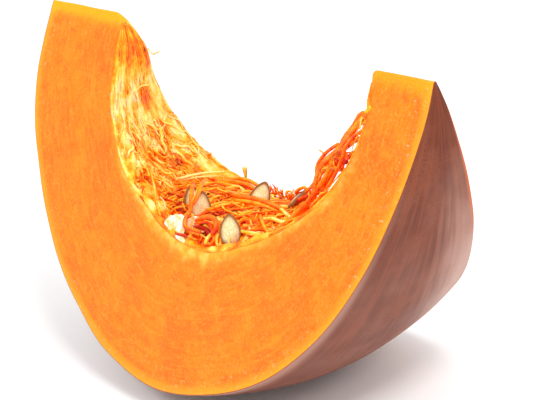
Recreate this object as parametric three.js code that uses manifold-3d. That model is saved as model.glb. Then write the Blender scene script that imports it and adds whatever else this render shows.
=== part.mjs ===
// A wedge of a brown-skinned winter squash, cut from pole to pole. It stands on its rind with both arms
// up and its seed hollow open: firm flesh with the rind grown on it, a lining of fine fibres on the wall
// of each arm, the wet orange pulp on the floor of the hollow, and the seeds lying in it.
//
// Millimetres, +Z up, the squash's own pole-to-pole axis along X. The origin is the middle of the small
// flat spot that the wedge stands on.
import * as THREE from 'three';
import { mergeVertices } from 'three/addons/utils/BufferGeometryUtils.js';
import Module from 'manifold-3d';

const wasm = await Module();
wasm.setup();

const DEG = Math.PI / 180;

// ---- driving dimensions -------------------------------------------------------------------------
const GIRTH_RADIUS = 173.5; // the squash's axis to its rind, half way between the poles
const WEDGE_HALF_ANGLE = 23.1 * DEG; // each knife cut, from the wedge's upright middle plane
const APEX_DEPTH = 2.6; // the cuts stop this far short of the squash's axis
const APEX_DOME = 1.4; // rise of the blunt edge where the two cuts nearly meet
const APEX_SLOPE = 0.78 * DEG; // that edge runs down towards the arm at +X
const REST_CUT = 1.5; // depth of the flat spot under the belly
const GAP = 0.35; // clearance between pieces that lie against each other
const SLIVER = 0.02; // corners closer than this are welded
const AXIS_HEIGHT = GIRTH_RADIUS - REST_CUT;
const NEAREST_AXIS = 0.2; // no outline corner but the poles comes closer to the axis
const BEYOND = 400; // the size of the tools that cut: larger than the squash

// Outlines in a plane through the axis, pole to pole: [along the axis, away from the axis].
const RIND = [
  [-133.5, 0], [-135.5, 22], [-136, 42], [-130.5, 66], [-120, 88], [-107, 109], [-91, 129], [-69, 148],
  [-40, 165], [0, GIRTH_RADIUS], [40, 166], [72, 151], [99, 126], [118, 95], [130, 61], [137, 24], [137, 0],
];
const HOLLOW_NEAR = [
  [-82, 0], [-76, 7], [-75.5, 24], [-73, 41], [-66, 58], [-52, 77], [-34, 88], [-12, 99], [16, 102.5],
  [40, 95], [65, 82], [86, 64], [98, 44], [102, 22], [99, 0],
];
const HOLLOW_FAR = [
  [-84, 0], [-75, 7], [-71.5, 22], [-77.5, 40], [-80, 57], [-78.5, 72], [-70, 88], [-55, 101],
  [-30, 109.5], [6, 112], [36, 108], [64, 98], [87, 78], [99, 54], [103, 26], [99, 0],
];
const TURN_STEPS = 96; // facets round the whole squash
const RIND_STEPS = 44;
const HOLLOW_STEPS = 40;

// The mound of pulp: a lumpy half-sunk ellipsoid on the floor of the hollow. Behind its brow, which
// lies `brow` in front of the middle plane, it falls away to the far side.
const MOUND = {
  x: 6, depth: 103, length: 76, width: 40, height: 18, lumps: 1.6, boxiness: 0.75, brow: 10, fall: 0.006,
};
const PULP_BRIDGES = 40; // strands with both ends in the mound
const PULP_TUFTS = 16; // strands with a free end
const STRAND_SIDES = 3;
const STRAND_STEP = 7; // length of one straight step of a strand

// The linings of the two arms: a mat on the wall with fibres standing off it. Each ends at a border, a
// plane across the wall where the mound begins: `side` is the arm's side, `tilt` the plane's lean.
const PALE_LINING = {
  side: -1, x: -46, depth: 90, tilt: 42 * DEG, mat: 2.6, fibres: 26, reach: [0.03, 0.24],
};
const WEB_LINING = {
  side: 1, x: 58, depth: 88, tilt: 50 * DEG, mat: 1.8, fibres: 12, reach: [0.05, 0.26],
};

const SEED = { length: 15.6, width: 10, thickness: 3.3 };
const SPLIT_SEED = { length: 15, width: 8.4, thickness: 2.2 };

// ---- materials ----------------------------------------------------------------------------------
const finish = (color, roughness) => new THREE.MeshStandardMaterial({ color, roughness, metalness: 0 });
const fleshFinish = finish(0xfa951f, 0.5);
const liningFinish = finish(0xf9cf6a, 0.45);
const pulpFinish = finish(0xf2600f, 0.3);
const seedFinish = finish(0xdcc69a, 0.45);
const cutSeedFinish = finish(0xf6efe0, 0.4);

// ---- helpers ------------------------------------------------------------------------------------
// A point given as [along the axis, away from the axis, turn]; a turn of -1 is the near cut, +1 the far.
function place([x, depth, turn]) {
  const angle = turn * WEDGE_HALF_ANGLE;
  return new THREE.Vector3(x, depth * Math.sin(angle), AXIS_HEIGHT - depth * Math.cos(angle));
}

function solid(geometry, weld = 1e-4) {
  geometry.deleteAttribute('normal');
  geometry.deleteAttribute('uv');
  const merged = mergeVertices(geometry, weld);
  const corners = [];
  for (let i = 0; i < merged.index.count; i += 3) {
    const [a, b, c] = merged.index.array.slice(i, i + 3);
    if (a !== b && b !== c && c !== a) corners.push(a, b, c);
  }
  return new wasm.Manifold(new wasm.Mesh({
    numProp: 3,
    vertProperties: Float32Array.from(merged.attributes.position.array),
    triVerts: Uint32Array.from(corners),
  }));
}

// The geometry of the largest body in a solid, without the loose scraps that cutting leaves.
function bodyGeometry(manifold) {
  const [body] = manifold.decompose().sort((a, b) => b.volume() - a.volume());
  const mesh = body.getMesh();
  const geometry = new THREE.BufferGeometry();
  geometry.setAttribute('position', new THREE.BufferAttribute(Float32Array.from(mesh.vertProperties), 3));
  return geometry.setIndex(new THREE.BufferAttribute(Uint32Array.from(mesh.triVerts), 1));
}

function piece(name, manifold, material) {
  const welded = solid(bodyGeometry(manifold), SLIVER);
  const part = new THREE.Mesh(bodyGeometry(welded), material);
  part.geometry.computeVertexNormals();
  part.name = name;
  return part;
}

const random = (low, high) => low + (high - low) * THREE.MathUtils.seededRandom();

// A closed body of revolution about the squash's axis, from an outline that starts and ends on it.
function turned(outline) {
  return new THREE.LatheGeometry(outline, TURN_STEPS).rotateZ(-Math.PI / 2).translate(0, 0, AXIS_HEIGHT);
}

// Evenly spaced points of a smooth outline, as LatheGeometry takes them, moved inwards by `inset`.
function outlinePoints(corners, count, inset = 0) {
  const curve = new THREE.SplineCurve(corners.map(([x, depth]) => new THREE.Vector2(depth, x)));
  return curve.getSpacedPoints(count).map((point, i) => {
    const along = curve.getTangentAt(i / count);
    const moved = point.clone().add(new THREE.Vector2(-along.y, along.x).multiplyScalar(inset));
    if (i === 0 || i === count) moved.x = 0;
    else moved.x = Math.max(moved.x, NEAREST_AXIS);
    return moved;
  });
}

// The seed hollow: its outline changes from the near cut to the far one, where it is fuller.
const nearOutline = (inset) => outlinePoints(HOLLOW_NEAR, HOLLOW_STEPS, inset);
const farOutline = (inset) => outlinePoints(HOLLOW_FAR, HOLLOW_STEPS, inset);

function fullness(turn) {
  return THREE.MathUtils.smoothstep(Math.sin(turn * WEDGE_HALF_ANGLE) / Math.sin(WEDGE_HALF_ANGLE), -1, 1);
}

function hollow(inset = 0) {
  const near = nearOutline(inset);
  const far = farOutline(inset);
  const geometry = turned(near);
  const position = geometry.attributes.position;
  for (let i = 0; i < position.count; i += 1) {
    const from = near[i % near.length];
    if (from.x > 0) {
      const y = position.getY(i);
      const z = position.getZ(i) - AXIS_HEIGHT;
      const to = from.clone().lerp(far[i % far.length], fullness(Math.atan2(y, -z) / WEDGE_HALF_ANGLE));
      position.setXYZ(i, to.y, (y * to.x) / from.x, (z * to.x) / from.x + AXIS_HEIGHT);
    }
  }
  return geometry;
}

// A point on the wall of the hollow: t runs from the pole at -X (0) to the pole at +X (1).
function wallPoint(t, turn, inset) {
  const index = Math.round(THREE.MathUtils.clamp(t, 0, 1) * HOLLOW_STEPS);
  const point = nearOutline(inset)[index].lerp(farOutline(inset)[index], fullness(turn));
  return place([point.y, point.x, turn]);
}

// A fibre: a thin prism swept along a smooth curve through the given points.
function strand(points, radius) {
  const curve = new THREE.CatmullRomCurve3(points);
  const corners = [];
  for (let i = 0; i < STRAND_SIDES; i += 1) {
    const angle = (i / STRAND_SIDES) * 2 * Math.PI;
    corners.push(new THREE.Vector2(radius * Math.cos(angle), radius * Math.sin(angle)));
  }
  const steps = Math.max(3, Math.round(curve.getLength() / STRAND_STEP));
  return solid(new THREE.ExtrudeGeometry(new THREE.Shape(corners), { extrudePath: curve, steps }));
}

// ---- flesh with its rind ------------------------------------------------------------------------
// The wedge between the two cuts: a long prism whose narrow top edge is blunt and slightly domed.
function wedgePrism() {
  const shoulder = place([0, APEX_DEPTH, -1]);
  const foot = place([0, BEYOND, -1]);
  const section = new THREE.Shape();
  section.moveTo(foot.y, foot.z);
  section.lineTo(-foot.y, foot.z);
  section.lineTo(-shoulder.y, shoulder.z);
  section.quadraticCurveTo(0, shoulder.z + 2 * APEX_DOME, shoulder.y, shoulder.z);
  const options = { depth: BEYOND, bevelEnabled: false, curveSegments: 4 };
  const geometry = new THREE.ExtrudeGeometry(section, options);
  geometry.rotateX(Math.PI / 2);
  geometry.rotateZ(Math.PI / 2);
  geometry.translate(-BEYOND / 2, 0, 0);
  const corner = { x: RIND[0][0], z: AXIS_HEIGHT };
  return geometry.translate(-corner.x, 0, -corner.z).rotateY(APEX_SLOPE).translate(corner.x, 0, corner.z);
}

function belowGround() {
  return solid(new THREE.BoxGeometry(BEYOND, BEYOND, BEYOND).translate(0, 0, -BEYOND / 2));
}

function squashWedge() {
  const whole = solid(turned(outlinePoints(RIND, RIND_STEPS)));
  return whole.subtract(solid(hollow())).intersect(solid(wedgePrism())).subtract(belowGround());
}

// ---- seeds --------------------------------------------------------------------------------------
// A flat teardrop: blunt at one end, drawn to a point at the other, which `tip` gives; `face` is the
// direction that its flat side looks in.
function seedGeometry({ at, tip, face, size = SEED }, grow) {
  const geometry = new THREE.SphereGeometry(0.5, 12, 8);
  const position = geometry.attributes.position;
  for (let i = 0; i < position.count; i += 1) {
    const along = position.getY(i) * 2;
    position.setX(i, position.getX(i) * (1 - 0.26 * along - 0.1 * along * along));
    position.setZ(i, position.getZ(i) * (1 - 0.15 * along));
  }
  geometry.scale(size.width + 2 * grow, size.length + 2 * grow, size.thickness + 2 * grow);
  const up = new THREE.Vector3(...tip).normalize();
  const side = new THREE.Vector3().crossVectors(up, new THREE.Vector3(...face)).normalize();
  const front = new THREE.Vector3().crossVectors(side, up);
  geometry.applyMatrix4(new THREE.Matrix4().makeBasis(side, up, front).setPosition(place(at)));
  return geometry;
}

// Where each seed lies: [x, depth, turn] of its middle, the way its point goes and its flat side looks.
const SEEDS = [
  { name: 'seed_1', at: [26, 91, -0.87], tip: [-0.25, 0.25, 0.93], face: [0.7, -0.7, 0.15] },
  { name: 'seed_2', at: [-7, 86.5, -0.6], tip: [-0.05, 0.3, 0.95], face: [0.8, -0.5, 0.2] },
  { name: 'seed_3', at: [-20, 87, -0.42], tip: [-0.3, 0.1, 0.95], face: [0.9, -0.3, 0.3] },
  { name: 'seed_4', at: [12, 82, 0.04], tip: [0.12, 0.5, 0.85], face: [0.75, -0.55, 0.3] },
  { name: 'seed_5', at: [28.4, 84, 0.3], tip: [0.35, 0.7, 0.6], face: [-0.7, -0.35, 0.65] },
  { name: 'seed_6', at: [-28, 97, 0.62], tip: [0.9, 0.15, 0.3], face: [-0.1, 0.9, 0.4] },
  { name: 'seed_7', at: [4, 101.5, 0.78], tip: [-0.95, 0.1, 0.2], face: [0.1, 0.9, 0.45] },
  { name: 'seed_8', at: [34, 100.5, 0.72], tip: [0.85, 0, 0.45], face: [-0.2, 0.9, 0.4] },
];
// Two seeds that the knife split, end to end on the near rim of the hollow.
const CUT_SEEDS = [
  { name: 'cut_seed_1', at: [-9.6, 94.2, -0.94], tip: [-1, 0, 0.1], face: [0, -0.9, 0.4], size: SPLIT_SEED },
  { name: 'cut_seed_2', at: [1.5, 93.8, -0.85], tip: [1, 0, 0.05], face: [0.1, -0.9, 0.4], size: SPLIT_SEED },
];

const seedSolid = (seed, grow) => solid(seedGeometry(seed, grow));

// The room that every seed takes up, with its clearance, is kept free in what it lies in.
function withoutSeeds(body) {
  return [...SEEDS, ...CUT_SEEDS].reduce((rest, seed) => rest.subtract(seedSolid(seed, GAP)), body);
}

// ---- linings of the arms ------------------------------------------------------------------------
// Everything beyond a lining's border: a block whose face leans across the wall, `gap` further out.
function beyondBorder({ side, x, depth, tilt }, gap = 0) {
  const edge = place([x, depth, 0]);
  const block = new THREE.BoxGeometry(BEYOND, BEYOND, BEYOND).translate(side * (BEYOND / 2 - gap), 0, 0);
  return solid(block.rotateY(-side * tilt).translate(edge.x, 0, edge.z));
}

// A fibre that leaves the wall near the arm's tip and lies down towards the mound.
function liningFibre({ side, mat, reach }) {
  const start = random(...reach);
  const turn = random(-0.9, 0.9);
  const run = random(0.05, 0.13);
  const drift = THREE.MathUtils.clamp(turn + random(-0.25, 0.25), -0.9, 0.9) - turn;
  const lift = mat + random(1, 4);
  const along = (share, inset) => {
    const t = start + run * share;
    return wallPoint(side < 0 ? t : 1 - t, turn + drift * share, inset);
  };
  const route = [along(0, 1), along(0.4, lift), along(0.8, lift), along(1, random(1, lift))];
  return strand(route, random(0.7, 1.1));
}

function lining(arm, strands = []) {
  let body = solid(hollow(GAP)).subtract(solid(hollow(GAP + arm.mat))).intersect(solid(wedgePrism()));
  for (let i = 0; i < arm.fibres; i += 1) body = body.add(liningFibre(arm));
  for (const { radius, points } of strands) body = body.add(strand(points.map(place), radius));
  return withoutSeeds(body.intersect(solid(hollow(GAP))).intersect(beyondBorder(arm)));
}

// The web of strands pulled up along the arm at +X: [x, depth, turn] of the points of each.
const WEB = [
  {
    radius: 1.8,
    points: [[104, 21, -0.9], [92, 34, -0.7], [83, 43, -0.55], [72, 52, -0.5], [67, 60, -0.43],
      [64, 70, -0.42], [56, 79, -0.45], [48, 88, -0.5]],
  },
  {
    radius: 1.4,
    points: [[104, 33, -0.85], [88, 41, -0.62], [80, 48, -0.52], [76, 58, -0.62], [68, 71, -0.72],
      [50, 90, -0.8]],
  },
  {
    radius: 1.2,
    points: [[108, 32, -0.6], [92, 43, -0.52], [76, 55, -0.38], [68, 66, -0.3], [48, 92, -0.2]],
  },
  { radius: 1.1, points: [[102, 50, -0.7], [84, 52, -0.6], [72, 54, -0.48], [66, 64, -0.4]] },
  { radius: 1.2, points: [[108, 42, 0.1], [92, 50, 0.1], [74, 66, 0], [50, 92, 0]] },
  { radius: 1.1, points: [[106, 54, 0.5], [80, 68, 0.42], [54, 92, 0.45]] },
];

// ---- pulp ---------------------------------------------------------------------------------------
// A point on the mound: `around` turns about its upright middle line, `down` is the angle off its top
// and `lift` is how far the point stands off it. The mound is an ellipsoid with fuller shoulders.
function moundPoint(around, down, lift) {
  const middle = place([MOUND.x, MOUND.depth, 0]);
  const fuller = (share) => Math.sign(share) * Math.abs(share) ** MOUND.boxiness;
  const y = (MOUND.width + lift) * fuller(Math.sin(around) * Math.sin(down));
  return new THREE.Vector3(
    middle.x + (MOUND.length + lift) * fuller(Math.cos(around) * Math.sin(down)),
    y,
    middle.z + (MOUND.height + lift) * fuller(Math.cos(down)) - MOUND.fall * Math.max(0, y + MOUND.brow) ** 2,
  );
}

function mound() {
  const geometry = new THREE.SphereGeometry(1, 26, 16).rotateX(Math.PI / 2);
  const position = geometry.attributes.position;
  for (let i = 0; i < position.count; i += 1) {
    const [x, y, z] = [position.getX(i), position.getY(i), position.getZ(i)];
    const down = Math.acos(THREE.MathUtils.clamp(z, -1, 1));
    const lumps = Math.sin(5 * x + 9 * z) + Math.sin(7 * x - 4 * y);
    const point = moundPoint(Math.atan2(y, x), down, MOUND.lumps * lumps * Math.sin(down));
    position.setXYZ(i, point.x, point.y, point.z);
  }
  return solid(geometry);
}

// A strand with both roots sunk in the mound, arched clear of it in between.
function bridgeStrand() {
  const around = random(0, 2 * Math.PI);
  const down = random(0.1, 1.2);
  const sweep = random(0.25, 0.6) * Math.sign(random(-1, 1));
  const slope = random(-0.4, 0.4);
  const lift = random(2.5, 4.5);
  return strand([
    moundPoint(around, down, -3),
    moundPoint(around + sweep * 0.3, down + slope * 0.3, lift),
    moundPoint(around + sweep * 0.7, down + slope * 0.7, lift),
    moundPoint(around + sweep, down + slope, -3),
  ], random(0.9, 1.4));
}

// A strand that leaves the mound and ends free.
function tuftStrand() {
  const around = random(0, 2 * Math.PI);
  const down = random(0.1, 1.1);
  const sweep = random(-0.5, 0.5);
  return strand([
    moundPoint(around, down, -3),
    moundPoint(around + sweep * 0.4, down, 2.5),
    moundPoint(around + sweep, down + random(-0.2, 0.2), random(3.5, 6)),
  ], random(0.8, 1.2));
}

function pulp() {
  let body = mound();
  for (let i = 0; i < PULP_BRIDGES; i += 1) body = body.add(bridgeStrand());
  for (let i = 0; i < PULP_TUFTS; i += 1) body = body.add(tuftStrand());
  body = body.intersect(solid(hollow(GAP)));
  for (const arm of [PALE_LINING, WEB_LINING]) body = body.subtract(beyondBorder(arm, GAP));
  return withoutSeeds(body);
}

// ---- assembly -----------------------------------------------------------------------------------
THREE.MathUtils.seededRandom(20);
const squash = new THREE.Group();
squash.add(piece('squash_wedge', squashWedge(), fleshFinish));
squash.add(piece('pulp', pulp(), pulpFinish));
squash.add(piece('pulp_web', lining(WEB_LINING, WEB), pulpFinish));
squash.add(piece('pale_lining', lining(PALE_LINING), liningFinish));
for (const seed of SEEDS) squash.add(piece(seed.name, seedSolid(seed, 0), seedFinish));
for (const seed of CUT_SEEDS) squash.add(piece(seed.name, seedSolid(seed, 0), cutSeedFinish));

export default squash;
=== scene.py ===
# %% [markdown]
# # A wedge of winter squash
# A wedge cut from pole to pole out of a large brown-skinned winter squash. It stands on its rind with
# both arms up. The hollow between the arms shows a pale fibrous lining, the wet orange pulp with its
# seeds, and a web of strands pulled up along the thinner arm.
#
# The CAD model gives every piece its size and place. This script dresses it: each CAD solid is
# replaced by a finer mesh of the same form, with a finish that is worked out by shader nodes.

# %% Load the frame
import math
import random

import bmesh
import bpy
import numpy as np
from mathutils import Matrix, Vector, noise


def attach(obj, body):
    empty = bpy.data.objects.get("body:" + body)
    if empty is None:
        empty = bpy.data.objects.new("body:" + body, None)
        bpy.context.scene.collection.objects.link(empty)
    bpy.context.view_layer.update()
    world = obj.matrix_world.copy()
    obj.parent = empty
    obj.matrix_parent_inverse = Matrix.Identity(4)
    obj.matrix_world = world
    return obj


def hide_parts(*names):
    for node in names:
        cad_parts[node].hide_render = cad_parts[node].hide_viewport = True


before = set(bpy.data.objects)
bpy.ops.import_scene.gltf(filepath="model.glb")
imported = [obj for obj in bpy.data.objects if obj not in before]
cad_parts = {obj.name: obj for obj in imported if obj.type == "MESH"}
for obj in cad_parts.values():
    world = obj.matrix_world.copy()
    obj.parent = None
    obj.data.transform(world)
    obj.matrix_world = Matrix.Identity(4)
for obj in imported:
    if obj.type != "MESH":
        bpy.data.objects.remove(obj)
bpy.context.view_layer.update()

# %% [markdown]
# ## The camera first
# The wedge is seen from a little above, past the near cut face and into the hollow. A long lens keeps
# the two arms in nearly parallel perspective. The camera's three axes are given as directions, because
# that says exactly how the picture is tilted.

# %% Camera
CAMERA_PLACE = Vector((0.7061, -0.5695, 0.4145))
IMAGE_RIGHT = Vector((0.66520357, 0.73864482, -0.10912395))
IMAGE_UP = Vector((-0.18684134, 0.30616954, 0.93346158))
LENS_MM = 133.33


def add_object(name, data):
    """Makes an object for the data and links it into the scene."""
    made = bpy.data.objects.new(name, data)
    bpy.context.scene.collection.objects.link(made)
    return made


eye = bpy.data.cameras.new("eye")
eye.lens = LENS_MM
eye.sensor_width = 36
eye.clip_start = 0.05
eye.clip_end = 30
camera = add_object("eye", eye)
towards_eye = IMAGE_RIGHT.cross(IMAGE_UP).normalized()
turned = Matrix((IMAGE_RIGHT, IMAGE_UP, towards_eye)).transposed().to_4x4()
camera.matrix_world = Matrix.Translation(CAMERA_PLACE) @ turned
bpy.context.scene.camera = camera
print("camera stands", round(CAMERA_PLACE.length, 2), "m from the wedge")

# %% [markdown]
# ## Floor and light
# A white sweep and big soft lights: this is how food is shown on white. The room itself lights
# everything evenly. Its reflection is held back, or it would lay a grey veil over wet flesh, and lamps
# draw the highlights instead: one in front and above, one from the side along the rind, and a small one
# that looks down into the hollow, where it makes the wet fibres sparkle.

# %% Room and lamps
ROOM_LIGHT = 1.0
ROOM_REFLECTION = 0.4
world = bpy.data.worlds.new("soft_room")
world.use_nodes = True
room = world.node_tree
background = room.nodes["Background"]
background.inputs["Color"].default_value = (1, 1, 1, 1)
ray = room.nodes.new("ShaderNodeLightPath")
strength = room.nodes.new("ShaderNodeMapRange")
strength.inputs["To Min"].default_value = ROOM_LIGHT
strength.inputs["To Max"].default_value = ROOM_REFLECTION
room.links.new(ray.outputs["Is Glossy Ray"], strength.inputs["Value"])
room.links.new(strength.outputs["Result"], background.inputs["Strength"])
bpy.context.scene.world = world
bpy.context.scene.view_settings.view_transform = "Standard"


def soft_lamp(name, place, aim, side, watts):
    """A square lamp that looks from its place at its aim."""
    lamp = bpy.data.lights.new(name, "AREA")
    lamp.shape = "SQUARE"
    lamp.size = side
    lamp.energy = watts
    holder = add_object(name, lamp)
    holder.location = place
    holder.rotation_mode = "QUATERNION"
    holder.rotation_quaternion = (Vector(aim) - Vector(place)).to_track_quat("-Z", "Y")


soft_lamp("front_lamp", (-0.2, -1.2, 1.3), aim=(0, 0, 0.08), side=0.5, watts=7.5)
soft_lamp("side_lamp", (1.2, 0.4, 1.0), aim=(0, 0, 0.08), side=0.4, watts=3.5)
soft_lamp("hollow_lamp", (0.75, -0.25, 1.25), aim=(-0.03, 0, 0.1), side=0.4, watts=9)
print("lamps:", {lamp.name: lamp.energy for lamp in bpy.data.lights})

# %% Floor
WHITE = (0.95, 0.95, 0.95, 1.0)
FLOOR_REACH = 6  # metres from its middle to its side
floor_mesh = bpy.data.meshes.new("floor")
floor_bm = bmesh.new()
bmesh.ops.create_grid(floor_bm, x_segments=1, y_segments=1, size=FLOOR_REACH)
floor_bm.to_mesh(floor_mesh)
floor_bm.free()
floor = add_object("floor", floor_mesh)
floor_paint = bpy.data.materials.new("floor_paint")
floor_paint.use_nodes = True
floor_paint.node_tree.nodes["Principled BSDF"].inputs["Base Color"].default_value = WHITE
floor_paint.node_tree.nodes["Principled BSDF"].inputs["Roughness"].default_value = 0.6
floor_mesh.materials.append(floor_paint)
print("floor:", 2 * FLOOR_REACH, "m across")

# %% [markdown]
# ## The shape of the squash
# Every piece is placed in the squash's own terms: how far along its axis, how far from the axis, and
# how far round, where a turn of -1 is the near cut and +1 the far one. Two outlines give the whole
# form, the rind's and the hollow's. The hollow is a little fuller on the far side, so it has two.

# %% Driving dimensions
MM = 0.001
AXIS_HEIGHT = 172 * MM
HALF_ANGLE = math.radians(23.1)
TIP_DEPTH = 2.6 * MM  # the cuts stop this far short of the axis
TIP_SLOPE = math.tan(math.radians(0.78))  # the cuts meet along a line that runs down towards +X
SLOPE_START = -134 * MM
RIND = [
    (-133.5, 0), (-135.5, 22), (-136, 42), (-130.5, 66), (-120, 88), (-107, 109), (-91, 129), (-69, 148),
    (-40, 165), (0, 173.5), (40, 166), (72, 151), (99, 126), (118, 95), (130, 61), (137, 24), (137, 0),
]
HOLLOW_NEAR = [
    (-82, 0), (-76, 7), (-75.5, 24), (-73, 41), (-66, 58), (-52, 77), (-34, 88), (-12, 99), (16, 102.5),
    (40, 95), (65, 82), (86, 64), (98, 44), (102, 22), (99, 0),
]
HOLLOW_FAR = [
    (-84, 0), (-75, 7), (-71.5, 22), (-77.5, 40), (-80, 57), (-78.5, 72), (-70, 88), (-55, 101),
    (-30, 109.5), (6, 112), (36, 108), (64, 98), (87, 78), (99, 54), (103, 26), (99, 0),
]
print("the cuts open by", round(2 * math.degrees(HALF_ANGLE), 1), "degrees")

# %% Smooth outlines


def smooth_outline(corners, count=400, steps=24):
    """Evenly spaced points on the smooth curve through the corners, without the part above the cuts."""
    ends = [np.array(corner) * MM for corner in (corners[0], *corners, corners[-1])]
    fine = []
    for before, start, end, after in zip(ends, ends[1:], ends[2:], ends[3:]):
        for t in np.linspace(0, 1, steps, endpoint=False):
            bend = (2 * before - 5 * start + 4 * end - after) * t
            bend = bend + (3 * start - before - 3 * end + after) * t * t
            fine.append(start + 0.5 * t * (end - before + bend))
    fine.append(ends[-1])
    fine = np.array([point for point in fine if point[1] >= tip_depth(point[0])])
    walked = np.concatenate(([0], np.cumsum(np.linalg.norm(np.diff(fine, axis=0), axis=1))))
    at = np.linspace(0, walked[-1], count)
    return np.column_stack([np.interp(at, walked, fine[:, axis]) for axis in (0, 1)])


def tip_depth(x):
    """How far from the axis the flesh ends at x."""
    return TIP_DEPTH + (x - SLOPE_START) * TIP_SLOPE


def at_share(outline, share):
    """The point of an outline at a share of its length, from the pole at -X (0) to the other (1)."""
    spot = min(max(share, 0), 1) * (len(outline) - 1)
    low = min(int(spot), len(outline) - 2)
    return outline[low] + (spot - low) * (outline[low + 1] - outline[low])


rind_outline = smooth_outline(RIND)
near_outline = smooth_outline(HOLLOW_NEAR)
far_outline = smooth_outline(HOLLOW_FAR)
print("rind outline runs from", rind_outline[0].round(4), "to", rind_outline[-1].round(4))

# %% Places on the hollow's wall
SLOPE_STEP = 0.01  # the wall's direction is taken between two shares this far to either side
FLOOR_FROM = 58 * MM  # the hollow's floor lies deeper than this, and short of FLOOR_TO along X
FLOOR_TO = 80 * MM


def smooth_step(value, start, end):
    """0 at the start, 1 at the end, and a soft change between them."""
    share = min(max((value - start) / (end - start), 0), 1)
    return share * share * (3 - 2 * share)


def fullness(turn):
    """How far the wall has gone from the near outline (0) to the far one (1)."""
    return smooth_step(math.sin(turn * HALF_ANGLE) / math.sin(HALF_ANGLE), -1, 1)


def place(x, depth, turn):
    """From the squash's own terms to a point in the frame."""
    angle = turn * HALF_ANGLE
    below = depth * math.cos(angle)
    squeeze = (below - (x - SLOPE_START) * TIP_SLOPE) / max(below, TIP_DEPTH)
    return Vector((x, depth * math.sin(angle) * max(squeeze, 0), AXIS_HEIGHT - below))


def wall_at(share, turn):
    """x and depth of the hollow's wall."""
    blend = fullness(turn)
    return at_share(near_outline, share) * (1 - blend) + at_share(far_outline, share) * blend


def hollow_point(share, turn, lift=0.0):
    """A point on the wall of the hollow, or `lift` in front of it."""
    x, depth = wall_at(share, turn)
    if lift:
        before, after = wall_at(share - SLOPE_STEP, turn), wall_at(share + SLOPE_STEP, turn)
        run = Vector(after - before).normalized()
        x, depth = x + run[1] * lift, depth - run[0] * lift
    return place(x, max(depth, TIP_DEPTH), turn)


def floor_depth(x, turn):
    """How far the hollow's wall is from the axis at x, on its floor."""
    depths = []
    for outline in (near_outline, far_outline):
        flat = outline[(outline[:, 1] > FLOOR_FROM) & (outline[:, 0] < FLOOR_TO)]
        depths.append(float(np.interp(x, flat[:, 0], flat[:, 1])))
    blend = fullness(turn)
    return depths[0] * (1 - blend) + depths[1] * blend


print("middle of the near rim:", [round(value, 4) for value in hollow_point(0.5, -1)])

# %% [markdown]
# ## Shader helpers
# All finishes mix the same few effects. Each effect that more than one finish uses is a node group:
# built once, with named inputs and outputs, and placed in a material with that finish's own values.
# `Paint` is only shorthand for placing nodes and wiring them, so that each finish reads as a recipe.

# %% A small helper for nodes


class Paint:
    """Places nodes in a material's or a group's tree and wires them."""

    def __init__(self, tree):
        self.tree = tree

    def node(self, kind, settings=None, **inputs):
        made = self.tree.nodes.new(kind)
        for name, value in (settings or {}).items():
            setattr(made, name, value)
        return self.fill(made, **inputs)

    def fill(self, made, **inputs):
        """Feeds a node's sockets by their names; an underscore stands for a space."""
        for name, value in inputs.items():
            self.feed(made.inputs[name.replace("_", " ")], value)
        return made

    def feed(self, socket, value):
        """Links an output to a socket, or puts a constant straight on it."""
        if isinstance(value, bpy.types.NodeSocket):
            self.tree.links.new(value, socket)
        else:
            socket.default_value = value

    def mix(self, share, first, second, blend="MIX"):
        made = self.tree.nodes.new("ShaderNodeMix")
        made.data_type = "RGBA"
        made.blend_type = blend
        for index, value in ((0, share), (6, first), (7, second)):
            self.feed(made.inputs[index], value)
        return made.outputs[2]

    def maths(self, operation, first, second):
        made = self.node("ShaderNodeMath", {"operation": operation})
        self.feed(made.inputs[0], first)
        self.feed(made.inputs[1], second)
        return made.outputs[0]

    def plus(self, first, second):
        return self.maths("ADD", first, second)

    def times(self, first, second):
        return self.maths("MULTIPLY", first, second)

    def stray(self, value, where, reach):
        """The value, plus `reach` where the noise `where` is 1: it makes a border wander."""
        return self.plus(value, self.times(where, reach))

    def fade(self, value, start, end, low=0.0, high=1.0):
        """A smooth change from low to high while value goes from start to end."""
        made = self.node(
            "ShaderNodeMapRange", {"interpolation_type": "SMOOTHSTEP"}, Value=value,
            From_Min=start, From_Max=end, To_Min=low, To_Max=high)
        return made.outputs[0]

    def carried(self, name):
        """A number that the mesh carries from vertex to vertex."""
        return self.node("ShaderNodeAttribute", {"attribute_name": name}).outputs["Fac"]

    def place_in_object(self):
        return self.node("ShaderNodeTexCoord").outputs["Object"]

    def speckle(self, where, size, detail=2.0, roughness=0.5):
        """Noise whose blotches are about `size` metres across."""
        made = self.node(
            "ShaderNodeTexNoise", Vector=where, Scale=1 / size, Detail=detail, Roughness=roughness)
        return made.outputs["Fac"]

    def bump(self, height, strength, depth):
        made = self.node("ShaderNodeBump", Height=height, Strength=strength, Distance=depth)
        return made.outputs["Normal"]


def srgb(red, green, blue):
    """A colour given as it looks on a screen, 0 to 255, as the shader wants it."""
    def linear(value):
        value /= 255
        return value / 12.92 if value <= 0.04045 else ((value + 0.055) / 1.055) ** 2.4
    return (linear(red), linear(green), linear(blue), 1.0)


def finish(name):
    """A new material: its Paint helper and its Principled BSDF."""
    material = bpy.data.materials.new(name)
    material.use_nodes = True
    return material, Paint(material.node_tree), material.node_tree.nodes["Principled BSDF"]


print("orange on a screen, as the shader wants it:", [round(value, 3) for value in srgb(255, 130, 8)])

# %% [markdown]
# ## Flesh and rind: the mesh
# The wedge could be cut out of a whole squash with Booleans, but that leaves long thin faces that
# catch the light badly. Here one flat grid is laid on the near cut face, from the hollow to the rind
# and from one tip to the other, and spun about the squash's axis. The spin carries the grid's own
# numbers along, so that each vertex still knows how deep in the flesh it lies, and the finish can
# change from the rind inwards as the real flesh does.

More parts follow.
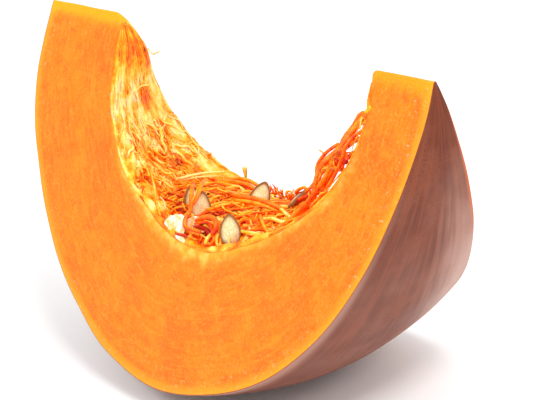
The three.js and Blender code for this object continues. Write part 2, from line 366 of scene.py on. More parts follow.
# %% Spin the wedge
ALONG_STEPS = 300
ACROSS_STEPS = 36
TURN_STEPS = 40
DOME = 1.7 * MM  # rise of the blunt edge where the two cuts nearly meet
AT_A_TIP = 1e-6  # a share along that is this close to 0 or 1 is an end of the outlines


def section_point(along, across, turn):
    """(x, depth) on the hollow's wall, on the rind, and at a share of the way across from wall to rind."""
    inner, outer = wall_at(along, turn), at_share(rind_outline, along)
    return inner, outer, inner + (outer - inner) * across


wedge_bm = bmesh.new()
along_layer, across_layer, turn_layer, rind_layer, hollow_layer, tip_layer = (
    wedge_bm.verts.layers.float.new(name)
    for name in ("along", "across", "turn", "from_rind", "from_hollow", "from_tip"))
bmesh.ops.create_grid(wedge_bm, x_segments=ALONG_STEPS, y_segments=ACROSS_STEPS, size=0.5)
for corner in wedge_bm.verts:
    corner[along_layer] = corner.co.x + 0.5
    corner[across_layer] = corner.co.y + 0.5
    _, _, (x, depth) = section_point(corner[along_layer], corner[across_layer], -1)
    corner.co = (x, -depth * math.sin(HALF_ANGLE), AXIS_HEIGHT - depth * math.cos(HALF_ANGLE))
bmesh.ops.spin(
    wedge_bm, geom=wedge_bm.verts[:] + wedge_bm.edges[:] + wedge_bm.faces[:], cent=(0, 0, AXIS_HEIGHT),
    axis=(1, 0, 0), angle=2 * HALF_ANGLE, steps=TURN_STEPS, use_merge=False, use_duplicate=False,
)
for corner in wedge_bm.verts:
    turn = math.atan2(corner.co.y, AXIS_HEIGHT - corner.co.z) / HALF_ANGLE
    inner, outer, (x, depth) = section_point(corner[along_layer], corner[across_layer], turn)
    thickness = float(np.linalg.norm(outer - inner))
    corner[turn_layer] = turn
    corner[rind_layer] = (1 - corner[across_layer]) * thickness
    corner[hollow_layer] = corner[across_layer] * thickness
    corner[tip_layer] = depth - tip_depth(x)
    corner.co = place(x, depth, turn)
    if min(corner[along_layer], 1 - corner[along_layer]) < AT_A_TIP:
        corner.co.z += DOME * (1 - turn * turn)
bmesh.ops.recalc_face_normals(wedge_bm, faces=wedge_bm.faces)
print("wedge:", len(wedge_bm.faces), "faces")

# %% [markdown]
# A knife never leaves a true plane: it drags a little, and at the rim of the hollow the soft flesh
# tears. The cut faces get a low, wide waver, the hollow's wall small lumps, and the rims are rounded
# by smoothing only the vertices that lie close to them.

# %% Waver, lumps and rounded rims
RIM_WIDTH = 3.2 * MM
TIP_RIM = 2.5 * MM
RAGGED_RIM = (0.45, 0.62)  # the shares of the near rim between which the pulp was pulled off
ON_WALL, NEAR_RIND, ON_RIND = 0.001, 0.97, 0.999  # shares across the flesh
ON_CUT = 0.999  # a turn, to either side
SMOOTHINGS = 6
SKIN = 0.35 * MM  # half the width of the bevel between rind and cut


def unevenness(corner):
    """How far a vertex stands out from the true form."""
    spot = corner.co
    if corner[across_layer] > ON_RIND:
        return 0.35 * MM * noise.noise(spot / (28 * MM))
    if corner[across_layer] < ON_WALL:
        return MM * (0.9 * noise.noise(spot / (9 * MM)) + 0.4 * noise.noise(spot / (3.5 * MM)))
    torn = max(0, 1 - corner[hollow_layer] / (9 * MM))
    pulled_off = RAGGED_RIM[0] < corner[along_layer] < RAGGED_RIM[1] and corner[turn_layer] < 0
    ragged = torn * (1.9 if pulled_off else 0.7)
    return MM * (0.4 * noise.noise(spot / (24 * MM)) + (0.1 + ragged) * noise.noise(spot / (4 * MM)))


def by_a_rim(corner):
    """Whether a vertex is close to the hollow's rim or to the blunt edge at a tip."""
    on_cut = abs(corner[turn_layer]) > ON_CUT
    from_cut = (1 - abs(corner[turn_layer])) * HALF_ANGLE * (corner[tip_layer] + TIP_DEPTH)
    hollow_rim = corner[hollow_layer] < RIM_WIDTH and (on_cut or from_cut < RIM_WIDTH)
    tip_rim = corner[tip_layer] < TIP_RIM
    return (hollow_rim or tip_rim) and corner[across_layer] < NEAR_RIND


wedge_bm.normal_update()
shifts = [(corner, corner.normal * unevenness(corner)) for corner in wedge_bm.verts]
for corner, shift in shifts:
    corner.co += shift
rims = [corner for corner in wedge_bm.verts if by_a_rim(corner)]
for _ in range(SMOOTHINGS):
    bmesh.ops.smooth_vert(
        wedge_bm, verts=rims, factor=0.5, use_axis_x=True, use_axis_y=True, use_axis_z=True)
for corner in wedge_bm.verts:
    corner.co.z = max(corner.co.z, 0)  # the small flat spot that it rests on
for face in wedge_bm.faces:
    face.smooth = True
    face.material_index = int(all(corner[across_layer] > ON_RIND for corner in face.verts))
skin_edges = [
    edge for edge in wedge_bm.edges if len({face.material_index for face in edge.link_faces}) == 2
]
bmesh.ops.bevel(
    wedge_bm, geom=skin_edges, offset=SKIN, segments=2, profile=0.5, affect="EDGES", material=-1)
wedge_mesh = bpy.data.meshes.new("flesh_wedge")
wedge_bm.to_mesh(wedge_mesh)
wedge_bm.free()
wedge = add_object("flesh_wedge", wedge_mesh)
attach(wedge, "root")
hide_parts("squash_wedge")
print("rounded rim vertices:", len(rims), " skin edges:", len(skin_edges))

# %% [markdown]
# ## Mottling
# Nothing that grew has one even colour. Flesh, rind, seeds and hulls all show a main colour that drifts
# to a lighter one in blotches, with darker grit between. That recipe is a node group: it is built once,
# and each finish places it with its own three colours and its own two sizes.

# %% The mottling group
mottling = bpy.data.node_groups.new("mottling", "ShaderNodeTree")
for direction, kind, names in (
        ("INPUT", "NodeSocketColor", ("Main", "Light", "Dark")),
        ("INPUT", "NodeSocketFloat", ("Blotch", "Grain")),
        ("OUTPUT", "NodeSocketColor", ("Colour",)),
        ("OUTPUT", "NodeSocketFloat", ("Relief",))):
    for name in names:
        mottling.interface.new_socket(name=name, in_out=direction, socket_type=kind)
paint = Paint(mottling)
given = paint.node("NodeGroupInput").outputs
spot = paint.place_in_object()
blotches = paint.node("ShaderNodeTexNoise", Vector=spot, Scale=given["Blotch"], Detail=4.0)
grain = paint.node("ShaderNodeTexNoise", Vector=spot, Scale=given["Grain"], Detail=3.0, Roughness=0.65)
tone = paint.mix(paint.fade(blotches.outputs["Fac"], 0.4, 0.64), given["Main"], given["Light"])
tone = paint.mix(paint.fade(grain.outputs["Fac"], 0.5, 0.34, 0, 0.8), tone, given["Dark"])
paint.node("NodeGroupOutput", Colour=tone, Relief=grain.outputs["Fac"])


def mottled(paint, main, light, dark, blotch, grain):
    """The group placed in a finish: its colour and its relief."""
    made = paint.node(
        "ShaderNodeGroup", {"node_tree": mottling}, Main=srgb(*main), Light=srgb(*light),
        Dark=srgb(*dark), Blotch=1 / blotch, Grain=1 / grain)
    return made.outputs["Colour"], made.outputs["Relief"]


print("mottling group sockets:", [socket.name for socket in mottling.interface.items_tree])

# %% [markdown]
# ## The finish of the flesh
# Cut squash is never one orange. It is yellower under the rind and towards the core, faint threads run
# from pole to pole, and the starch shows as paler grit. Near the rind, pinkish flecks are a painted
# highlight that stands for drops of juice catching the light. All of that is worked out from the numbers
# that the mesh carries.

# %% Flesh finish
THREAD_RUN = 0.06  # metres of noise from pole to pole: the fewer, the longer the threads
flesh, paint, shader = finish("squash_flesh")
spot = paint.place_in_object()
along = paint.carried("along")
from_rind, from_hollow = paint.carried("from_rind"), paint.carried("from_hollow")
from_tip = paint.carried("from_tip")
thread_place = paint.node("ShaderNodeCombineXYZ", X=paint.times(along, THREAD_RUN), Y=from_rind)
threads = paint.speckle(thread_place.outputs[0], 2.4 * MM, 5.0, 0.65)
clouds = paint.speckle(spot, 7 * MM, 3.0)
grit = paint.speckle(spot, 1.3 * MM, 3.0, 0.7)
tone, grain = mottled(paint, (243, 119, 8), (240, 105, 12), (238, 100, 8), blotch=24 * MM, grain=5 * MM)
tone = paint.mix(paint.fade(clouds, 0.5, 0.72, 0, 0.5), tone, srgb(249, 140, 20))
tone = paint.mix(paint.fade(threads, 0.44, 0.66, 0, 0.5), tone, srgb(248, 138, 24))
tone = paint.mix(paint.fade(grit, 0.48, 0.72, 0, 0.42), tone, srgb(255, 164, 76))

# yellower under the rind
inner = paint.stray(from_rind, clouds, 3 * MM)
tone = paint.mix(paint.fade(inner, 2 * MM, 8 * MM, 0.7, 0), tone, srgb(251, 162, 32))

# yellow at the tips, more on the thicker arm than on the thinner one
inner = paint.stray(from_tip, clouds, 5 * MM)
strength = paint.times(paint.fade(inner, 3.5 * MM, 10 * MM, 0.8, 0), paint.fade(along, 0.5, 0.9, 1, 0.6))
tone = paint.mix(strength, tone, srgb(251, 170, 8))

# a pale blotched band beside the hollow, where the pulp was pulled off: widest on its floor
blotch = paint.speckle(spot, 5 * MM, 4.0, 0.6)
band_tone = paint.mix(paint.fade(blotch, 0.42, 0.62), srgb(251, 160, 34), srgb(253, 190, 84))
inner = paint.stray(from_hollow, clouds, 14 * MM)
inner = paint.plus(inner, paint.fade(along, 0.56, 0.7, -2.5 * MM, 0))
inner = paint.plus(inner, paint.fade(along, 0.12, 0.42, 8 * MM, 0))
strength = paint.times(paint.fade(inner, 6 * MM, 14 * MM, 0.85, 0), paint.fade(along, 0.1, 0.2))
strength = paint.times(strength, paint.fade(along, 0.8, 0.92, 1, 0))
tone = paint.mix(strength, tone, band_tone)

# painted highlight: pinkish flecks near the rind, for drops of juice that catch the light
inner = paint.stray(from_rind, clouds, 16 * MM)
juice_glint = paint.fade(paint.speckle(spot, 2.4 * MM, 4.0, 0.8), 0.6, 0.68)
juice_glint = paint.times(juice_glint, paint.fade(inner, 12 * MM, 24 * MM, 0.5, 0))
tone = paint.mix(juice_glint, tone, srgb(255, 206, 170))
tone = paint.mix(paint.fade(from_rind, 0.35 * MM, 0.6 * MM, 1, 0), tone, srgb(150, 76, 36))
relief = paint.plus(paint.times(grit, 0.6), paint.plus(threads, grain))
paint.fill(
    shader, Base_Color=tone, Normal=paint.bump(relief, 0.4, 0.6 * MM),
    Roughness=paint.fade(grit, 0.3, 0.7, 0.36, 0.54), Specular_IOR_Level=0.2,
    Subsurface_Weight=0.15, Subsurface_Radius=(1.0, 0.3, 0.04), Subsurface_Scale=2.5 * MM)
wedge_mesh.materials.append(flesh)
print(flesh.name, "has", len(flesh.node_tree.nodes), "nodes")

# %% [markdown]
# ## The finish of the rind
# The rind is a thin reddish-brown skin with a dull bloom. Streaks run from pole to pole, so they read
# the distance along the wedge and the turn round it. A pale colour lies low on the belly. In a narrow
# line beside the near cut it is the bloom, where hands did not rub it off. Towards the far cut it is
# partly bloom and partly a painted highlight. High up at the far cut the skin is thin and an orange
# line shows. So both read the height and the turn.

# %% Rind finish
STREAK_RUN, STREAK_ROUND = 0.05, 0.06  # metres of noise from pole to pole, and for one step of turn
rind, paint, shader = finish("squash_rind")
spot = paint.place_in_object()
turn = paint.carried("turn")
streak_place = paint.node(
    "ShaderNodeCombineXYZ", X=paint.times(paint.carried("along"), STREAK_RUN),
    Y=paint.times(turn, STREAK_ROUND))
streaks = paint.speckle(streak_place.outputs[0], 6 * MM, 5.0, 0.55)
patches = paint.speckle(spot, 26 * MM, 4.0)
tone, grain = mottled(paint, (100, 38, 12), (120, 58, 34), (84, 32, 12), blotch=18 * MM, grain=0.9 * MM)
tone = paint.mix(paint.fade(streaks, 0.4, 0.66, 0, 0.6), tone, srgb(132, 62, 30))
height = paint.node("ShaderNodeSeparateXYZ", Vector=spot).outputs["Z"]
low = paint.fade(paint.stray(height, patches, 30 * MM), 75 * MM, 150 * MM, 1, 0)
# painted highlight: towards the far cut, the pale colour low on the belly is partly the skin's bloom and
# partly a painted highlight
sideways = paint.stray(turn, streaks, 0.5)
far_bloom_and_highlight = paint.fade(sideways, 0.3, 1.1, 0.08, 0.7)
bloom_and_highlight = paint.plus(far_bloom_and_highlight, paint.fade(turn, -0.86, -0.98, 0, 0.4))
tone = paint.mix(paint.times(low, bloom_and_highlight), tone, srgb(200, 158, 142))
edge = paint.times(paint.fade(turn, 0.9, 0.97), paint.fade(height, 70 * MM, 110 * MM))
tone = paint.mix(paint.times(edge, 0.8), tone, srgb(196, 92, 34))
paint.fill(
    shader, Base_Color=tone, Normal=paint.bump(paint.plus(streaks, grain), 0.16, 0.4 * MM),
    Roughness=paint.fade(patches, 0.3, 0.7, 0.4, 0.56), Specular_IOR_Level=0.2,
    Coat_Weight=0.05, Coat_Roughness=0.35)
wedge_mesh.materials.append(rind)
print(rind.name, "has", len(rind.node_tree.nodes), "nodes")

# %% [markdown]
# ## One finish for everything wet and fibrous
# The lining, the pulp and their fibres are the same stuff, dried pale in one place and soaked deep
# orange in the next. So they share one finish. Each vertex carries a number, its blush, from 0 for cream
# to 1 for dark red, and a colour ramp turns that number into the colour. The blush is partly the
# stuff's own colour and partly painted shade. It is deeper in the felt's valleys, in the mound's folds
# and on the fibres' undersides, and the darkest red stands for the shade in a deep gap. A small painted
# glow, orange light that the fibres give off, stands in for light that comes through them. Fibre and
# felt then flow into each other, where a separate colour for each fibre would look like string.

# %% Wet finish
# from cream to dark red; the darkest stops are painted shade, the colour of a deep gap in shadow
WET_TONES = (
    (0.0, (255, 220, 144)), (0.18, (255, 198, 84)), (0.36, (255, 170, 32)), (0.56, (255, 130, 8)),
    (0.76, (252, 96, 4)), (0.9, (236, 60, 2)), (1.0, (160, 24, 2)),
)
CREAM, YELLOW = 0.08, 0.34  # two blushes with a name
PAINTED_GLOW = 0.09  # painted glow: orange light that the fibres give off, standing in for light that came through the fibres beside them
wet, paint, shader = finish("wet_fibre")
spot = paint.place_in_object()
fine = paint.speckle(spot, 1.2 * MM, 4.0, 0.7)
broad = paint.speckle(spot, 5 * MM, 3.0)
blush = paint.plus(paint.carried("blush"), paint.fade(fine, 0.3, 0.7, -0.1, 0.1))
blush = paint.plus(blush, paint.fade(broad, 0.3, 0.7, -0.12, 0.12))
ramp = paint.node("ShaderNodeValToRGB", Fac=blush)
while len(ramp.color_ramp.elements) < len(WET_TONES):
    ramp.color_ramp.elements.new(0.5)
for stop, (at, colour) in zip(ramp.color_ramp.elements, WET_TONES):
    stop.position = at
    stop.color = srgb(*colour)
# painted glow: the emission colour is the ramp's colour made more orange
through = paint.mix(1.0, ramp.outputs["Color"], (1.0, 0.45, 0.1, 1.0), "MULTIPLY")
paint.fill(
    shader, Base_Color=ramp.outputs["Color"], Emission_Color=through, Emission_Strength=PAINTED_GLOW,
    Normal=paint.bump(fine, 0.35, 0.4 * MM), Roughness=0.3, Specular_IOR_Level=0.3,
    Subsurface_Weight=0.7, Subsurface_Radius=(1.0, 0.35, 0.06), Subsurface_Scale=4 * MM)
print(wet.name, "has", len(wet.node_tree.nodes), "nodes")

# %% [markdown]
# ## Fibres
# The inside of a squash is a felt of wet fibres. Hair would draw them well, but it is lost when the
# part is used elsewhere, so every fibre is a real tapered tube. They are drawn as Bezier splines, which
# pass smoothly through a few points and take a thickness at each, and one curve object holds them all.
# It is then made a mesh, with few sides to a tube, because most fibres are a millimetre thick. That
# mesh lists the tubes' end caps first, from the last spline to the first, and then the tubes in order,
# which is how each fibre's blush gets back onto its vertices.

# %% Fibre tools
CUT_MARGIN = 0.5 * MM  # no fibre comes closer to a cut
WALL_MARGIN = 0.4 * MM  # and none sinks deeper into the floor of the hollow
random_draw = random.Random(11)
between = random_draw.uniform


def thin_to_thick(thinnest, thickest, power=1.8):
    """A random radius between two values in millimetres; a higher power leaves fewer thick ones."""
    return (thinnest + (thickest - thinnest) * random_draw.random() ** power) * MM


def fibre(points, radius, blush, end=0.3):
    """A fibre through the points; it thins from its middle on, to a share `end` of its thickness."""
    return {"points": points, "radius": radius, "blush": blush, "end": end}


def tip_line(x):
    """Height of the line in which the two cuts would meet."""
    return AXIS_HEIGHT - (x - SLOPE_START) * TIP_SLOPE


def inside_cuts(point):
    """The point, moved in if it stands out of one of the two cuts."""
    widest = tip_line(point.x) - point.z
    widest = max(widest, 0) * math.tan(HALF_ANGLE) - CUT_MARGIN
    return Vector((point.x, max(-widest, min(widest, point.y)), point.z))


def above_floor(point):
    """The point, lifted if it lies deeper than the floor of the hollow."""
    below = AXIS_HEIGHT - point.z
    depth = math.hypot(below, point.y)
    deepest = floor_depth(point.x, math.atan2(point.y, below) / HALF_ANGLE) - WALL_MARGIN
    if below <= 0 or depth <= deepest:
        return point
    return Vector((point.x, point.y * deepest / depth, AXIS_HEIGHT - below * deepest / depth))


def route_points(route):
    """Points in the frame for (x, depth, turn), with x and depth in millimetres."""
    return [place(x * MM, depth * MM, turn) for x, depth, turn in route]


def hand_laid(table, end):
    """The fibres of a table whose rows give a radius in millimetres, a blush and a route."""
    return [fibre(route_points(route), radius * MM, blush, end) for radius, blush, route in table]


print("a millimetre below the floor of the hollow is lifted to", above_floor(hollow_point(0.5, 0, -MM)))

# %% Tubes along the fibres
THICK = 0.7 * MM  # from this radius on a fibre gets six sides, and four below
CURVE_STEPS = 3  # rings from one point of a spline to the next
CAP_SEAM = 0.0005 * MM  # a tube's caps are welded on across this gap
UNDERSIDE_SHADE = 0.44  # painted shade: how much deeper the blush is on a fibre's underside than on its crown
BLUSH_WAVER = 0.12  # how far the blush wanders on its way along a fibre
OWN_BLUSH = 0.3  # between crown (0) and underside (1), where a fibre has the blush it was given


def tubes_of(fibres, more_sides):
    """A mesh of tapered tubes along the fibres."""
    curve = bpy.data.curves.new("fibres", "CURVE")
    curve.dimensions = "3D"
    curve.bevel_depth = 1.0
    curve.bevel_resolution = more_sides
    curve.resolution_u = CURVE_STEPS
    curve.use_fill_caps = True
    for one in fibres:
        spline = curve.splines.new("BEZIER")
        last = len(one["points"]) - 1
        spline.bezier_points.add(last)
        for index, point in enumerate(one["points"]):
            knot = spline.bezier_points[index]
            knot.co = inside_cuts(point)
            knot.handle_left_type = knot.handle_right_type = "AUTO"
            knot.radius = one["radius"] * (1 - (1 - one["end"]) * max(0, 2 * index / last - 1))
    holder = add_object("fibres", curve)
    drawn = holder.evaluated_get(bpy.context.evaluated_depsgraph_get())
    tubes = bpy.data.meshes.new_from_object(drawn)
    bpy.data.objects.remove(holder)
    return tubes


def add_fibres(mesh_bm, fibres):
    """Adds the fibres as tubes, with painted shade: each is paler on the side that faces the squash's axis
    and deeper orange on its underside.
    """
    blush_layer = mesh_bm.verts.layers.float["blush"]
    for more_sides in (0, 1):
        chosen = [one for one in fibres if (one["radius"] >= THICK) == bool(more_sides)]
        tubes = tubes_of(chosen, more_sides)
        sides = 4 + 2 * more_sides
        blushes = []
        for one in reversed(chosen):  # the two caps of each fibre
            blushes += [one["blush"]] * (2 * sides)
        for one in chosen:
            rings = (len(one["points"]) - 1) * CURVE_STEPS + 1
            blushes += [one["blush"]] * (rings * sides)
        assert len(blushes) == len(tubes.vertices), (len(blushes), len(tubes.vertices))
        first = len(mesh_bm.verts)
        mesh_bm.from_mesh(tubes)
        mesh_bm.verts.ensure_lookup_table()
        mesh_bm.normal_update()
        for offset, blush in enumerate(blushes):
            corner = mesh_bm.verts[first + offset]
            # painted shade: the side that faces away from the squash's axis gets a deeper blush, the crown
            # a paler one
            inwards = Vector((0, -corner.co.y, AXIS_HEIGHT - corner.co.z)).normalized()
            shade_side = 0.5 - 0.5 * corner.normal.dot(inwards)
            waver = BLUSH_WAVER * noise.noise(corner.co / (6 * MM))
            corner[blush_layer] = blush + waver + UNDERSIDE_SHADE * (shade_side - OWN_BLUSH)
        bpy.data.meshes.remove(tubes)
    bmesh.ops.remove_doubles(mesh_bm, verts=mesh_bm.verts[:], dist=CAP_SEAM)


print("a fibre through five points has", 4 * CURVE_STEPS + 1, "rings")

# %% From a bmesh to a piece


def finish_piece(name, mesh_bm, material, node):
    """Turns a bmesh into a piece that stands for a CAD node."""
    mesh = bpy.data.meshes.new(name)
    for face in mesh_bm.faces:
        face.smooth = True
    mesh_bm.to_mesh(mesh)
    mesh_bm.free()
    mesh.materials.append(material)
    piece = add_object(name, mesh)
    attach(piece, "root")
    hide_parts(node)
    triangles = sum(len(face.vertices) - 2 for face in mesh.polygons)
    print(name, "has", triangles, "triangles")


print("the wedge, the first piece, has", len(wedge_mesh.polygons), "faces")

# %% [markdown]
# ## The pale lining
# On the wall of the thicker arm the fibres have dried a little to a cream-yellow felt: smooth near the
# tip, shaggy where it runs into the mound, and deep orange where it is torn open. A grid laid on the
# wall and raised by stretched noise makes the felt; its faces are extruded back to the wall so that it
# is a closed body. The torn patches are listed one by one, and loose fibres run down over it.

# %% Felt on a wall
FELT_TURN = 0.985  # a felt stops this close to a cut
FELT_BACK = -1.2 * MM  # its back lies behind the wall
FELT_LOW = 0.3 * MM  # and its lowest places lie this far in front of it
BORDER_RISE = 14  # a felt rises to its height within one part in so many of its sheet
WALL_LENGTH, WALL_HALF_WIDTH = 300, 32  # of the whole hollow, in millimetres


def ridged(share, turn, size_along, size_round, seed):
    """Ridges that run along the arm, 0 to 1."""
    along, around = share * WALL_LENGTH * MM / size_along, turn * WALL_HALF_WIDTH * MM / size_round
    value = noise.noise(Vector((along, around, seed)))
    return 1 - min(1, abs(value) * 2.2)


def felt(mesh_bm, shares, turns, steps, thickness_of, blush_of):
    """A closed felt on the wall between two shares and two turns, thickness_of(share) at its ridges, with
    painted shade: a deeper blush in its valleys and a paler one on its ridges.
    """
    blush_layer = mesh_bm.verts.layers.float.get("blush") or mesh_bm.verts.layers.float.new("blush")
    sheet = bmesh.ops.create_grid(mesh_bm, x_segments=steps[0], y_segments=steps[1], size=0.5)["verts"]
    spots = {}
    for corner in sheet:
        share = shares[0] + (corner.co.x + 0.5) * (shares[1] - shares[0])
        turn = turns[0] + (corner.co.y + 0.5) * (turns[1] - turns[0])
        border = min(0.5 - abs(corner.co.x), 0.5 - abs(corner.co.y))
        spots[corner] = (share, turn, min(1, border * BORDER_RISE))
    faces = list({face for corner in sheet for face in corner.link_faces})
    backs = bmesh.ops.extrude_face_region(mesh_bm, geom=faces, use_keep_orig=True)["geom"]
    by_place = {tuple(round(value, 6) for value in corner.co): spots[corner] for corner in sheet}
    for corner in backs:
        if isinstance(corner, bmesh.types.BMVert):
            share, turn, _ = by_place[tuple(round(value, 6) for value in corner.co)]
            corner.co = hollow_point(share, turn, FELT_BACK)
            corner[blush_layer] = blush_of(share, turn)
    for corner, (share, turn, border) in spots.items():
        height = ridged(share, turn, 16 * MM, 4.5 * MM, 3) * 0.5
        height += ridged(share, turn, 7 * MM, 2.4 * MM, 8) * 0.3
        height += 0.25 + 0.5 * noise.noise(Vector((share * 26, turn * 3.4, 2)))
        lift = FELT_LOW + thickness_of(share) * border * (0.2 + 0.8 * height)
        corner.co = inside_cuts(hollow_point(share, turn, lift))
        # painted shade: the felt's valleys get a deeper blush, its ridges a paler one
        corner[blush_layer] = blush_of(share, turn) + 0.5 * (0.5 - height)
    bmesh.ops.recalc_face_normals(mesh_bm, faces=mesh_bm.faces)


print("a ridge at one spot of the wall, 0 to 1:", round(ridged(0.2, 0, 16 * MM, 4.5 * MM, 3), 2))

# %% Felt of the lining
FELT_THIN, FELT_DEEP = 0.9 * MM, 3.2 * MM  # at the arm's tip and where it meets the mound
# where the felt is torn or streaked: share, turn, their two reaches, and how much deeper the colour is
PATCHES = (
    (0.052, 0.1, 0.014, 0.13, 0.3), (0.078, -0.3, 0.016, 0.13, 0.32), (0.08, 0.72, 0.045, 0.1, 0.26),
    (0.122, -0.35, 0.009, 0.1, 0.42), (0.148, 0.38, 0.024, 0.26, 0.5),
    (0.2, -0.5, 0.03, 0.12, 0.4), (0.235, -0.2, 0.03, 0.14, 0.42), (0.258, 0.22, 0.018, 0.17, 0.5),
    (0.264, 0.44, 0.012, 0.07, 0.7), (0.3, -0.7, 0.03, 0.2, 0.4), (0.225, 0.42, 0.012, 0.1, 0.4),
)


def lining_blush(share, turn):
    """Amber at the tip and beside the near cut, cream below, orange towards the mound and in patches."""
    blush = 0.6 - 0.36 * smooth_step(share, 0.07, 0.125) + 0.36 * smooth_step(share, 0.22, 0.35)
    blush += 0.1 * smooth_step(share, 0.13, 0.17) * smooth_step(turn, -0.2, 0.6)
    blush += (0.56 - blush) * 0.8 * smooth_step(turn, -0.84, -0.985) * smooth_step(share, 0.13, 0.08)
    edge_blush = 0.3 + 0.6 * noise.noise(Vector((share * 40, turn * 5, 12)))
    blush += (edge_blush - blush) * 0.85 * smooth_step(turn, -0.62, -0.8) * smooth_step(share, 0.12, 0.18)
    blush += (0.28 - blush) * 0.85 * smooth_step(turn, 0.6, 0.85) * smooth_step(share, 0.09, 0.13)
    for patch_share, patch_turn, reach, reach_round, deeper in PATCHES:
        away = math.hypot((share - patch_share) / reach, (turn - patch_turn) / reach_round)
        away += 0.5 * noise.noise(Vector((share * 90, turn * 9, 4)))
        blush += deeper * smooth_step(away, 1.6, 0.2)
    return blush


def lining_thickness(share):
    return FELT_THIN + (FELT_DEEP - FELT_THIN) * smooth_step(share, 0.12, 0.28)


lining_bm = bmesh.new()
felt(lining_bm, (0.012, 0.345), (-FELT_TURN, FELT_TURN), (190, 120), lining_thickness, lining_blush)
print("lining felt:", len(lining_bm.faces), "faces")

# %% [markdown]
# Over the felt run hundreds of loose fibres, short and close near the tip, longer and more tangled
# towards the mound. No hand could lay them all, so their values are drawn between limits, in four
# groups from the tip downwards. A fibre takes its blush from the felt below it, give or take a little.

# %% Fibres on the lining
WALL_KNOTS = 6


def wall_fibre(share, turn, run, drift, lift, radius, blush, rise=0.0, curl=1.0):
    """A fibre along the wall that rises `lift` from it in the middle, and `rise` more at its far end."""
    points = []
    for index in range(WALL_KNOTS):
        t = index / (WALL_KNOTS - 1)
        height = lift * math.sin(math.pi * (0.15 + 0.7 * t)) + rise * t * t + between(-0.2, 0.2) * MM
        side = min(max(turn + drift * t + curl * between(-0.025, 0.025), -0.97), 0.97)
        height *= 1 - 0.45 * smooth_step(side, 0.5, 0.9)  # it lies flat at the far rim
        along = share + run * t + curl * between(-0.003, 0.003)
        points.append(hollow_point(along, side, max(height, 0.2 * MM)))
    return fibre(points, radius, blush, end=0.4)


def draw_fibres(count, shares, turns, runs, drifts, lifts, radii, paler, rise=0.0, curl=1.0):
    """Fibres whose values are drawn from the ranges, each paler than the felt below it by `paler`."""
    drawn = []
    for _ in range(count):
        share, turn, run = between(*shares), between(*turns), between(*runs)
        drift = between(*drifts) * random_draw.choice((-1, 1))
        blush = lining_blush(share + run / 2, turn + drift / 2) - between(*paler)
        drawn.append(wall_fibre(
            share, turn, run, drift, between(*lifts) * MM, thin_to_thick(*radii), blush,
            rise=rise * between(0, 1) * MM, curl=curl))
    return drawn


lining_fibres = draw_fibres(
    50, (0.02, 0.1), (-0.7, 0.9), (0.01, 0.04), (0, 0.15), (0.3, 0.7), (0.15, 0.4), (-0.1, 0.15))
lining_fibres += draw_fibres(
    170, (0.085, 0.2), (-0.95, 0.95), (0.02, 0.06), (0, 0.35), (0.5, 1.2), (0.15, 0.45), (-0.24, 0.14),
    curl=1.6)
lining_fibres += draw_fibres(
    420, (0.17, 0.335), (-0.78, 0.95), (0.02, 0.06), (0, 0.4), (1.2, 3.6), (0.2, 0.7), (-0.24, 0.4),
    curl=2.4)
lining_fibres += draw_fibres(
    60, (0.19, 0.31), (-0.7, 0.6), (0.025, 0.05), (0.1, 0.4), (2, 4), (0.4, 1.1), (-0.05, 0.35),
    rise=4, curl=1.6)
print("fibres on the lining:", len(lining_fibres))

# %% [markdown]
# A few fibres stand off the rim, and they are what the eye finds first. They are listed one by one, so
# that they end where they should. Short tufts are fans of such fibres from one root.

# %% Stray fibres on the rim
def tuft(root, towards, length, spread, count, radius, blushes, soft=0.0):
    """A fan of short pointed fibres from one root; `soft` bends them."""
    fan = []
    for _ in range(count):
        way = Vector(towards).normalized() + Vector([between(-spread, spread) for _ in range(3)])
        way = way.normalized() * length * between(0.6, 1)
        bend = Vector([between(-soft, soft) for _ in range(3)])
        points = [root - way * 0.2, root + way * 0.5 + bend, root + way]
        fan.append(fibre(points, thin_to_thick(radius * 0.5, radius, 1), between(*blushes), end=0.12))
    return fan


LAID_ON_LINING = (
    (0.42, YELLOW, [(-70.5, 23, 0.95), (-68, 25.5, 0.9), (-63.5, 24, 0.88), (-59.5, 22.3, 0.86)]),
    (0.75, -0.1, [(-73, 88, 0.02), (-55, 86.5, 0.1), (-45, 85, 0.35), (-37, 87, 0.6)]),
    (0.6, -0.2, [(-69, 89.5, -0.02), (-56, 88.4, 0.12), (-46, 86.5, 0.3), (-39, 88, 0.5)]),
    (0.45, CREAM, [(-76, 43, 0.6), (-75, 41, 0.2), (-74, 44, -0.1), (-72, 50, -0.4)]),
    (0.4, CREAM, [(-75, 37, 0.1), (-73.5, 42, -0.15), (-71.5, 48, -0.5), (-70, 54, -0.7)]),
)
lining_fibres += hand_laid(LAID_ON_LINING, end=0.5)
low_root, high_root = hollow_point(0.285, 0.93), hollow_point(0.2, 0.93)
lining_fibres += tuft(low_root, (1, 0.1, 0.75), 5 * MM, 0.45, 9, 0.45, (0.3, 0.6), 0.4 * MM)
lining_fibres += tuft(high_root, (1, 0.1, 0.3), 3 * MM, 0.5, 8, 0.35, (0.3, 0.5), 0.3 * MM)
add_fibres(lining_bm, lining_fibres)
finish_piece("pale_lining_felt", lining_bm, wet, "pale_lining")

# %% [markdown]
# ## The pulp
# The floor of the hollow holds a mound of wet orange pulp. Its core is a sphere stretched into a low
# box-shouldered mound with lumps, and a tangle of fibres covers it: some lie close, some arch clear,
# some end free.

# %% Pulp mound
MOUND_X, MOUND_DEPTH = 6 * MM, 103 * MM
MOUND_SIZE = (76 * MM, 40 * MM, 18 * MM)
MOUND_BOXINESS = 0.75
MOUND_BROW = 10 * MM  # behind this line in front of the middle plane the mound falls away
MOUND_FALL = 0.006 / MM


